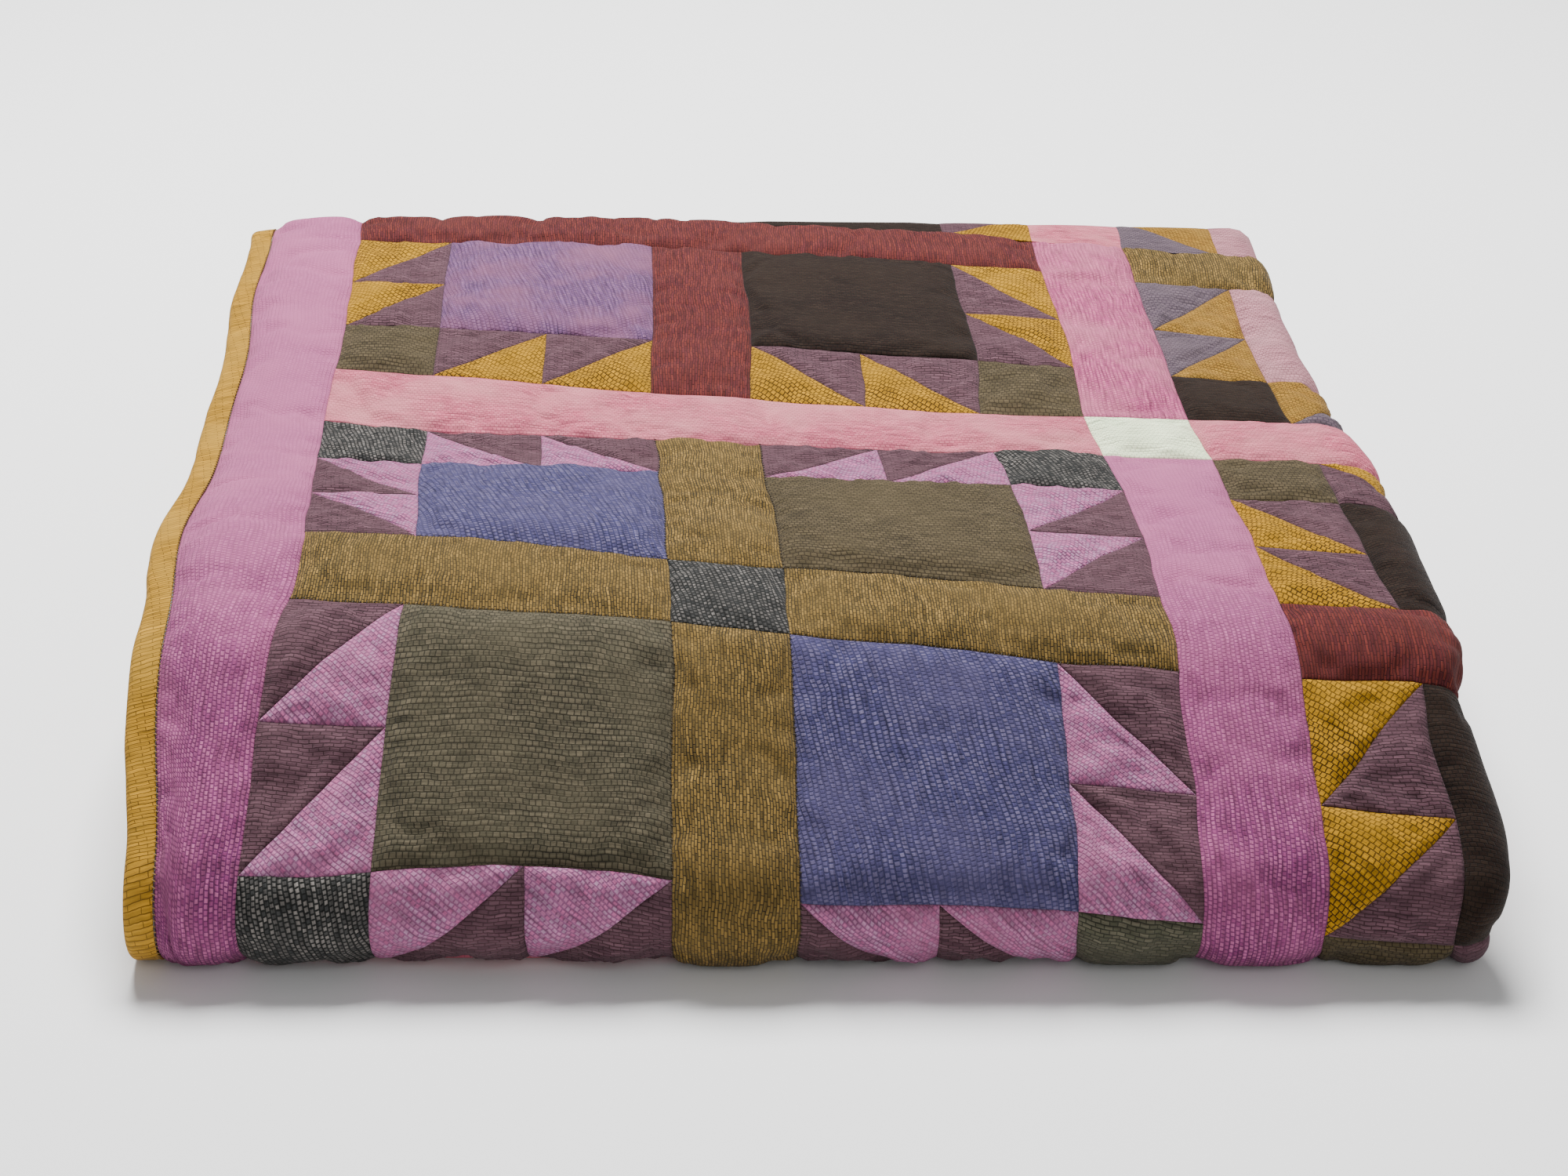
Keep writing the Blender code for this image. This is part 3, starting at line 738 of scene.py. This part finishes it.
# The cloths of each block: squares by place, then corners, claws, their ground, arms, centre.
FRONT_BLOCK = {
    "front_left_square": "olive", "back_right_square": "khaki",
    "back_left_square": "blue", "front_right_square": "blue",
    "corner": "charcoal", "front_right_corner": "grey_green", "claw": "claw_pink",
    "ground": "plum", "arm": "ochre_shot", "centre": "charcoal",
}
BACK_BLOCK_CLOTHS = {
    "square": "umber", "front_left_square": "lilac", "corner": "khaki", "claw": "plum",
    "ground": "mustard_knit", "arm": "rust", "centre": "umber",
}
RIGHT_BLOCK_CLOTHS = {
    "square": "umber", "corner": "khaki", "claw": "plum", "ground": "mustard_knit",
    "arm": "rust", "centre": "umber",
}
FAR_BLOCK_CLOTHS = {
    "square": "dusty_rose", "corner": "umber", "claw": "ochre_claw",
    "ground": "grey_lavender", "arm": "ochre_shot", "centre": "umber",
}
SIDE = {0: "left", 1: "left", 3: "right", 4: "right"}
END = {0: "front", 1: "front", 3: "back", 4: "back"}


def block_lines(start):
    """The six seam lines of a block, in either direction."""
    lines = [start]
    for size in (TOOTH, PAW, CROSS, PAW, TOOTH):
        lines.append(lines[-1] + size)
    return lines


def cell(cloths, i, j, u, v, scheme, step):
    """The patches in column i and row j of a block, and their kind."""
    where = f"{END[j]}_{SIDE[i]}"
    box = (u[i], u[i + 1], v[j], v[j + 1])
    if i in (1, 3) and j in (1, 3):
        kind = "square"
    elif i in (0, 4) and j in (0, 4):
        kind = "corner"
    elif i in (0, 4):
        kind = "side_teeth"
        teeth(cloths, *box, (i == 0, j == 3), scheme["claw"], scheme["ground"], step)
    else:
        kind = "end_teeth"
        teeth(cloths, *box, (i == 3, j == 0), scheme["claw"], scheme["ground"], step)
    if "teeth" not in kind:
        found = scheme.get(f"{where}_{kind}") or scheme.get(kind) or scheme["corner"]
        rectangle(cloths, *box, found, step)
    return f"{where}_{kind}"


planned = []


def plan(cloths, node, width, length, held="laid"):
    planned.append((cloths, node, (width, length), held))


def sew_planned():
    """Simulates the top, then makes every planned piece of it."""
    simulate([cut for cloths, *_ in planned for cut in cloths.panels if max(cut[2]) <= FINE])
    for cloths, node, flat, held in planned:
        for corners, cloth_name, steps in cloths.panels:
            sew(cloths, corners, cloth_name, steps)
        piece = cloths.piece(node + "_cloth")
        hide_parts(node)


def patch(node, u0, u1, v0, v1, cloth_name):
    cloths = Cloths()
    rectangle(cloths, u0, u1, v0, v1, cloth_name, FINE)
    plan(cloths, node, u1 - u0, v1 - v0)


def block(name, u_start, v_start, columns, rows, scheme):
    u, v = block_lines(u_start), block_lines(v_start)
    for i in columns:
        for j in rows:
            if 2 in (i, j):
                continue
            cloths = Cloths()
            kind = cell(cloths, i, j, u, v, scheme, FINE)
            plan(cloths, f"{name}_{kind}", u[i + 1] - u[i], v[j + 1] - v[j])
    arm = scheme["arm"]
    if 2 in columns:
        patch(f"{name}_front_arm", u[2], u[3], v[0], v[2], arm)
        if 4 in rows:
            patch(f"{name}_back_arm", u[2], u[3], v[3], v[5], arm)
            patch(f"{name}_centre", u[2], u[3], v[2], v[3], scheme["centre"])
            patch(f"{name}_left_arm", u[0], u[2], v[2], v[3], arm)
            patch(f"{name}_right_arm", u[3], u[5], v[2], v[3], arm)
        else:
            patch(f"{name}_cross_bar", u[0], u[5], v[2], v[3], arm)
    else:
        patch(f"{name}_left_arm", u[0], u[2], v[2], v[3], arm)


def shown_patchwork():
    block("front_block", LEFT_BLOCK, 0.0, range(5), range(5), FRONT_BLOCK)
    block("back_block", LEFT_BLOCK, BACK_BLOCK, range(5), range(2), BACK_BLOCK_CLOTHS)
    block("right_block", RIGHT_BLOCK, 0.0, range(2), range(5), RIGHT_BLOCK_CLOTHS)
    block("far_block", RIGHT_BLOCK, BACK_BLOCK, range(2), range(2), FAR_BLOCK_CLOTHS)
    patch("middle_sash_left", LEFT_BLOCK, RIGHT_SASH, BLOCK, BACK_BLOCK, "sash_pink")
    patch("middle_sash_right", RIGHT_BLOCK, SHOWN_RIGHT, BLOCK, BACK_BLOCK, "sash_pink")
    patch("right_sash_front", RIGHT_SASH, RIGHT_BLOCK, 0.0, BLOCK, "magenta")
    patch("right_sash_back", RIGHT_SASH, RIGHT_BLOCK, BACK_BLOCK, SHOWN_BACK, "pale_rose")
    patch("cornerstone", RIGHT_SASH, RIGHT_BLOCK, BLOCK, BACK_BLOCK, "mint")


def hidden_steps(u0, u1, v0, v1):
    """Grid steps of hidden cloth in u and in v, finer where it goes round a fold that way."""
    band, packet = BAND.starts(TOP_LEVEL), PACKET.starts(TOP_IN_BAND)
    across = any(u0 < band[n + 1] and u1 > band[n] for n in (1, 3, 5))
    reach = SKEW * PACKET_WIDTH / 2
    turns = [(packet[n] - V_OF_S - reach, packet[n + 1] - V_OF_S + reach) for n in (1, 5)]
    lengthwise = u0 < PACKET_WIDTH and any(v0 < high and v1 > low for low, high in turns)
    return TURNING if across else PLAIN, TURNING if lengthwise else PLAIN


def spans():
    """Columns of the whole quilt: block columns with their number and place, and sashes."""
    found = [("border", 0, EDGE, LEFT_BLOCK)]
    for number in range(5):
        lines = block_lines(LEFT_BLOCK + number * REPEAT)
        found += [("block", (number, i), lines[i], lines[i + 1]) for i in range(5)]
        if number < 4:
            found.append(("sash", 0, lines[5], lines[5] + SASH))
    found.append(("border", 0, found[-1][3], TOP_WIDTH - CLOTH_EDGE))
    return found


def row_spans():
    found = [("border", 0, V_FIRST, -REPEAT - SASH), ("sash", 0, -REPEAT - SASH, -REPEAT)]
    for number in range(-1, 4):
        lines = block_lines(number * REPEAT)
        found += [("block", (number, i), lines[i], lines[i + 1]) for i in range(5)]
        if number < 3:
            found.append(("sash", 0, lines[5], lines[5] + SASH))
    found.append(("border", 0, found[-1][3], V_LAST))
    return found


SCHEMES = (FRONT_BLOCK, RIGHT_BLOCK_CLOTHS, BACK_BLOCK_CLOTHS, FAR_BLOCK_CLOTHS)


def hidden_patches(node, wanted, flat):
    """The patches of one hidden part of the top, those that wanted(u middle, v middle) names."""
    cloths = Cloths()
    for kind, column, u0, u1 in spans()[1:]:
        for row_kind, row, v0, v1 in row_spans():
            if not wanted((u0 + u1) / 2, (v0 + v1) / 2):
                continue
            step = hidden_steps(u0, u1, v0, v1)
            if "border" in (kind, row_kind):
                rectangle(cloths, u0, u1, v0, v1, "magenta", step)
            elif "sash" in (kind, row_kind):
                both = kind == row_kind
                rectangle(cloths, u0, u1, v0, v1, "mint" if both else "sash_pink", step)
            else:
                (block_u, i), (block_v, j) = column, row
                scheme = SCHEMES[(block_u + 2 * block_v) % 4]
                if 2 in (i, j):
                    found = scheme["centre"] if i == j else scheme["arm"]
                    rectangle(cloths, u0, u1, v0, v1, found, step)
                else:
                    u = block_lines(LEFT_BLOCK + block_u * REPEAT)
                    cell(cloths, i, j, u, block_lines(block_v * REPEAT), scheme, step)
    plan(cloths, node, *flat, held="folded")


def hidden_patchwork():
    width = SHOWN_RIGHT - LEFT_BLOCK
    hidden_patches("underside_patchwork", lambda u, v: u < SHOWN_RIGHT and v < 0, (width, -V_FIRST))
    hidden_patches(
        "inner_leaf_patchwork", lambda u, v: u < SHOWN_RIGHT and v > SHOWN_BACK,
        (width, V_LAST - SHOWN_BACK),
    )
    hidden_patches(
        "inner_layers_patchwork", lambda u, v: u > SHOWN_RIGHT,
        (TOP_WIDTH - CLOTH_EDGE - SHOWN_RIGHT, V_LAST - V_FIRST),
    )


def left_border():
    cloths = Cloths()
    near, far = -0.060, 0.800
    rectangle(cloths, CLOTH_EDGE, LEFT_BLOCK, V_FIRST, near, "magenta", PLAIN / 2)
    rectangle(cloths, CLOTH_EDGE, LEFT_BLOCK, near, far, "magenta", FINE)
    rectangle(cloths, CLOTH_EDGE, LEFT_BLOCK, far, V_LAST, "magenta", PLAIN / 2)
    plan(cloths, "left_border", SASH, V_LAST - V_FIRST, held="folded")


# ---------------------------------------------------------------- wadding, backing, bindings


END_REACH = 20 * MM


def fold_lines(line, edge, end, coarse, fine, measured=0.0):
    """Distances along a fold line, fine round its turns and near both ends."""
    starts = line.starts(measured)
    found = {edge, end}
    marks = [(edge, edge + END_REACH), (end - END_REACH, end)]
    marks += [(starts[n], starts[n + 1]) for n, (angle, _) in enumerate(line.steps) if angle]
    for low, high in marks:
        low, high = max(low, edge), min(high, end)
        count = max(4, math.ceil((high - low) / fine))
        found.update(np.linspace(low, high, count + 1))
    for value in np.arange(edge, end, coarse):
        if min(abs(value - other) for other in found) > fine:
            found.add(float(value))
    return np.array(sorted(found))


def inner_sheet(node, name, edge, level, thickness, cloth_name, coarse):
    u, s = np.meshgrid(
        fold_lines(BAND, edge, BAND_LENGTH - edge, coarse, 2.5 * MM),
        fold_lines(PACKET, edge, PACKET_LENGTH - edge, 12 * MM, 4 * MM),
    )
    cloths = Cloths()
    upper, lower = (fold(u, s, level + side * thickness / 2) for side in (1, -1))
    cloths.add_slab(upper, lower, np.stack([u, s], axis=-1), cloth_name)
    piece = cloths.piece(name)
    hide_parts(node)
    return piece


# The wadding is pressed below the seams, which sink into it.
WADDING_SUNK = 1.3 * MM
WADDING_PRESSED = 2.7 * MM
CROSSING_GRID = 50 * MM  # of wadding and backing, across the quilt where they lie flat


def wadding():
    level, thickness = WADDING_LEVEL - WADDING_SUNK, WADDING - WADDING_PRESSED
    piece = inner_sheet(
        "wadding", "quilt_wadding", 2 * BACKING, level, thickness, "wadding_cotton", CROSSING_GRID
    )


def backing():
    piece = inner_sheet(
        "backing", "quilt_backing", CLOTH_EDGE, BACKING_LEVEL, BACKING, "backing_cloth",
        CROSSING_GRID,
    )


BINDING_CLOTH = 0.9 * MM
BINDING_RISE = 0.9 * MM  # how far the roll stands over the cloth beside it
HEM_RISE = 0.35 * MM  # how far its sewn edge does


def binding_profile():
    """Closed section of a rolled binding: distance in from the edge, level, and girth."""
    half = (TOP_LEVEL - BACKING_LEVEL) / 2
    middle = (TOP_LEVEL + BACKING_LEVEL) / 2
    outside = half + BINDING_RISE
    outer, inner = [], []
    for turn in np.linspace(-0.5, 0.5, 15) * math.pi:
        nose = np.array([math.cos(turn), math.sin(turn)])
        for radius, side in ((outside, outer), (outside - BINDING_CLOTH, inner)):
            side.append((half - radius * nose[0], middle - radius * nose[1]))
    hem, shoulder = BINDING_WIDTH, BINDING_WIDTH * 0.75
    top, low = middle + half + HEM_RISE, middle - half
    outer = [(hem, top), (shoulder, outer[0][1] - 0.05 * MM)] + outer
    outer += [(shoulder, outer[-1][1]), (hem, low)]
    inner = [(hem, top - BINDING_CLOTH), (shoulder, inner[0][1])] + inner
    inner += [(shoulder, inner[-1][1]), (hem, low + BINDING_CLOTH)]
    loop = np.array(outer + inner[::-1])
    girth = np.concatenate([[0.0], np.cumsum(np.hypot(*np.diff(loop, axis=0).T))])
    return loop, girth


def tube_faces(rings, sides):
    """Faces of a closed tube of rings by sides points, with both ends filled by quads."""
    index = np.arange(rings * sides).reshape(rings, sides)
    after = np.roll(index, -1, axis=1)
    walls = np.stack([index[:-1], index[1:], after[1:], after[:-1]], axis=-1).reshape(-1, 4)
    half = sides // 2
    ends = []
    for ring, order in ((index[0], 1), (index[-1], -1)):
        for n in range(half - 1):
            ends.append([ring[n], ring[n + 1], ring[sides - 2 - n], ring[sides - 1 - n]][::order])
    return np.concatenate([walls, np.array(ends)])


def binding(node, along_s, far_side):
    """A strip folded over one edge of the quilt; its ribs run across it."""
    loop, girth = binding_profile()
    line, length = (PACKET, PACKET_LENGTH) if along_s else (BAND, BAND_LENGTH)
    first, last = (0.0, length) if along_s else (CLOTH_EDGE, length - CLOTH_EDGE)
    run = fold_lines(line, first, last, 6 * MM, 2.5 * MM)
    across, at = np.meshgrid(loop[:, 0], run)
    level = np.broadcast_to(loop[:, 1], across.shape)
    girth = np.broadcast_to(girth, across.shape)
    swell = 1.0 + 0.10 * ripple(at, 0.0, 0.03, 21.7)
    across = BINDING_WIDTH - (BINDING_WIDTH - across) * swell
    width = BAND_LENGTH if along_s else PACKET_LENGTH
    across = width - across if far_side else across
    u, s = (across, at) if along_s else (at, across)
    points = fold(u, s, level).reshape(-1, 3)
    faces = tube_faces(len(run), len(loop))
    if far_side != along_s:
        faces = faces[:, ::-1]
    cloths = Cloths()
    cloths.add(points, faces, np.stack([at, girth], axis=-1).reshape(-1, 2)[:, ::-1], "binding")
    piece = cloths.piece(node + "_roll")
    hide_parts(node)


def bindings():
    binding("left_binding", True, False)
    binding("right_binding", True, True)
    binding("front_end_binding", False, False)
    binding("back_end_binding", False, True)


# ---------------------------------------------------------------- stitches


def sewing_thread(name, colour):
    """Two-ply sewing cotton, waxed by handling: it catches a little more light than the cloth."""
    material = bpy.data.materials.new(name)
    material.use_nodes = True
    tree = material.node_tree
    shader = tree.nodes["Principled BSDF"]
    place = add_node(tree, "ShaderNodeTexCoord").outputs["Object"]
    plies = add_node(
        tree, "ShaderNodeTexNoise", {"Vector": place, "Scale": 1.5 / MM, "Detail": 1.0}
    )
    tone = add_node(
        tree, "ShaderNodeMapRange", {"Value": plies.outputs[0], "To Min": 0.6, "To Max": 1.2}
    ).outputs[0]
    shaded = add_node(
        tree, "ShaderNodeMix", {0: 1.0, 6: linear(colour), 7: tone}, data_type="RGBA",
        blend_type="MULTIPLY",
    ).outputs[2]
    tree.links.new(shaded, shader.inputs["Base Color"])
    shader.inputs["Roughness"].default_value = 0.75
    return material


def stitch_tree(material):
    """Lays a stitch across a seam line at every pitch, along each point's 'across' direction."""
    tree = bpy.data.node_groups.new("overcast_stitches", "GeometryNodeTree")
    interface = tree.interface
    interface.new_socket("Seam", in_out="INPUT", socket_type="NodeSocketGeometry")
    for name in ("Pitch", "Stitch length", "Thread thickness"):
        interface.new_socket(name, in_out="INPUT", socket_type="NodeSocketFloat")
    interface.new_socket("Stitches", in_out="OUTPUT", socket_type="NodeSocketGeometry")
    given = add_node(tree, "NodeGroupInput").outputs
    line = add_node(tree, "GeometryNodeMeshToCurve", {"Mesh": given["Seam"]}).outputs[0]
    spaced = add_node(
        tree, "GeometryNodeResampleCurve", {"Curve": line, "Length": given["Pitch"]}, mode="LENGTH"
    ).outputs[0]
    across = add_node(
        tree, "GeometryNodeInputNamedAttribute", {"Name": "across"}, data_type="FLOAT_VECTOR"
    ).outputs[0]
    turned = add_node(
        tree, "FunctionNodeAlignRotationToVector", {"Vector": across}, axis="X"
    ).outputs[0]
    bead = add_node(
        tree, "GeometryNodeMeshUVSphere", {"Segments": 8, "Rings": 5, "Radius": 0.5}
    ).outputs[0]
    size = add_node(
        tree, "ShaderNodeCombineXYZ",
        {0: given["Stitch length"], 1: given["Thread thickness"], 2: given["Thread thickness"]},
    ).outputs[0]
    laid = add_node(
        tree, "GeometryNodeInstanceOnPoints",
        {"Points": spaced, "Instance": bead, "Rotation": turned, "Scale": size},
    ).outputs[0]
    real = add_node(tree, "GeometryNodeRealizeInstances", {0: laid}).outputs[0]
    finished = add_node(
        tree, "GeometryNodeSetMaterial", {"Geometry": real, "Material": material}
    ).outputs[0]
    add_node(tree, "NodeGroupOutput", {0: finished})
    return tree


def on_top(flat, lift):
    """Points of the visible top at a seam, lifted off the sunken cloth."""
    place = wobble(flat)
    u, v = place[..., 0], place[..., 1]
    height = TOP_CLOTH / 2 + relief(flat[..., 0], flat[..., 1], np.zeros(u.shape)) + lift
    return fold(u, along(u, v), TOP_LEVEL + height, TOP_LEVEL, TOP_IN_BAND)


def stitches(name, seams, colour, pitch, length, thickness, lift, lean):
    """Stitches over seam lines, each given by its two ends in the flat measure."""
    points, edges, across = [], [], []
    for start, end in seams:
        start, end = np.array(start), np.array(end)
        count = max(2, round(math.dist(start, end) / (3 * MM)))
        flat = start + (end - start) * np.linspace(0.0, 1.0, count)[:, None]
        side = np.array((-(end - start)[1], (end - start)[0])) + lean * (end - start)
        side *= 0.5 * MM / math.hypot(*side)
        edges += [(len(points) + n, len(points) + n + 1) for n in range(count - 1)]
        points += on_top(flat, lift).tolist()
        across += (on_top(flat + side, lift) - on_top(flat - side, lift)).tolist()
    mesh = bpy.data.meshes.new(name + "_line")
    mesh.from_pydata(points, edges, [])
    direction = mesh.attributes.new("across", "FLOAT_VECTOR", "POINT")
    direction.data.foreach_set("vector", np.ravel(across))
    line = bpy.data.objects.new(name + "_line", mesh)
    bpy.context.scene.collection.objects.link(line)
    modifier = line.modifiers.new("stitches", "NODES")
    thread = sewing_thread(name + "_thread", colour)
    modifier.node_group = stitch_tree(thread)
    sizes = {"Pitch": pitch, "Stitch length": length, "Thread thickness": thickness}
    for item in modifier.node_group.interface.items_tree:
        if item.in_out == "INPUT" and item.name in sizes:
            modifier[item.identifier] = sizes[item.name]
    bpy.context.view_layer.update()
    graph = bpy.context.evaluated_depsgraph_get()
    plain = bpy.data.meshes.new_from_object(line.evaluated_get(graph))
    bpy.data.objects.remove(line)
    piece = bpy.data.objects.new(name, plain)
    bpy.context.scene.collection.objects.link(piece)
    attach(piece, "root")


def sewing():
    u, v = block_lines(LEFT_BLOCK), block_lines(0.0)
    stitches(
        "binding_stitches", [((CLOTH_EDGE, -0.03), (CLOTH_EDGE, 0.72))], "#8A6A34",
        2.8 * MM, 2.1 * MM, 0.5 * MM, 1.5 * MM, 0.5,
    )
    seams = [((u[n], v[a]), (u[n], v[b])) for n in (2, 3) for a, b in ((0, 2), (3, 5))]
    seams += [((u[a], v[n]), (u[b], v[n])) for n in (2, 3) for a, b in ((0, 2), (3, 5))]
    stitches(
        "seam_stitches", seams, "#3A3020",
        3.1 * MM, 1.6 * MM, 0.42 * MM, 0.6 * MM, 0.3,
    )


# ---------------------------------------------------------------- floor, light, camera


FLOOR_SIDE = 8.0
LENS, SENSOR = 68.4, 36.0  # in mm
EYE = (0.0033, -1.342, 0.711)
LOOKS_DOWN = math.radians(27.06)


def studio():
    floor_mesh = bpy.data.meshes.new("floor")
    half = FLOOR_SIDE / 2
    corners = [(-half, -half, 0), (half, -half, 0), (half, half, 0), (-half, half, 0)]
    floor_mesh.from_pydata(corners, [], [(0, 1, 2, 3)])
    floor = bpy.data.objects.new("floor", floor_mesh)
    bpy.context.scene.collection.objects.link(floor)
    paper = bpy.data.materials.new("matt_paper")
    paper.use_nodes = True
    paper.node_tree.nodes["Principled BSDF"].inputs["Base Color"].default_value = linear("#F4F4F4")
    paper.node_tree.nodes["Principled BSDF"].inputs["Roughness"].default_value = 1.0
    floor_mesh.materials.append(paper)

    world = bpy.data.worlds.new("studio")
    world.use_nodes = True
    world.node_tree.nodes["Background"].inputs["Color"].default_value = linear("#FFFFFF")
    world.node_tree.nodes["Background"].inputs["Strength"].default_value = 0.28
    bpy.context.scene.world = world

    for name, place, size, power in (
        ("overhead", (-0.2, 0.9, 2.2), 1.2, 176.0),
        ("front_fill", (0.6, -2.2, 1.6), 1.5, 14.0),
    ):
        light = bpy.data.lights.new(name, "AREA")
        light.size = size
        light.energy = power
        lamp = bpy.data.objects.new(name, light)
        lamp.location = place
        lamp.rotation_euler = (-Vector(place)).to_track_quat("-Z", "Y").to_euler()
        bpy.context.scene.collection.objects.link(lamp)


def camera():
    made = bpy.data.cameras.new("camera")
    made.lens = LENS
    made.sensor_width = SENSOR
    eye = bpy.data.objects.new("camera", made)
    eye.location = EYE
    eye.rotation_euler = (math.radians(90) - LOOKS_DOWN, 0.0, 0.0)
    bpy.context.scene.collection.objects.link(eye)
    bpy.context.scene.camera = eye


camera()
studio()
shown_patchwork()
left_border()
hidden_patchwork()
sew_planned()
wadding()
backing()
bindings()
sewing()
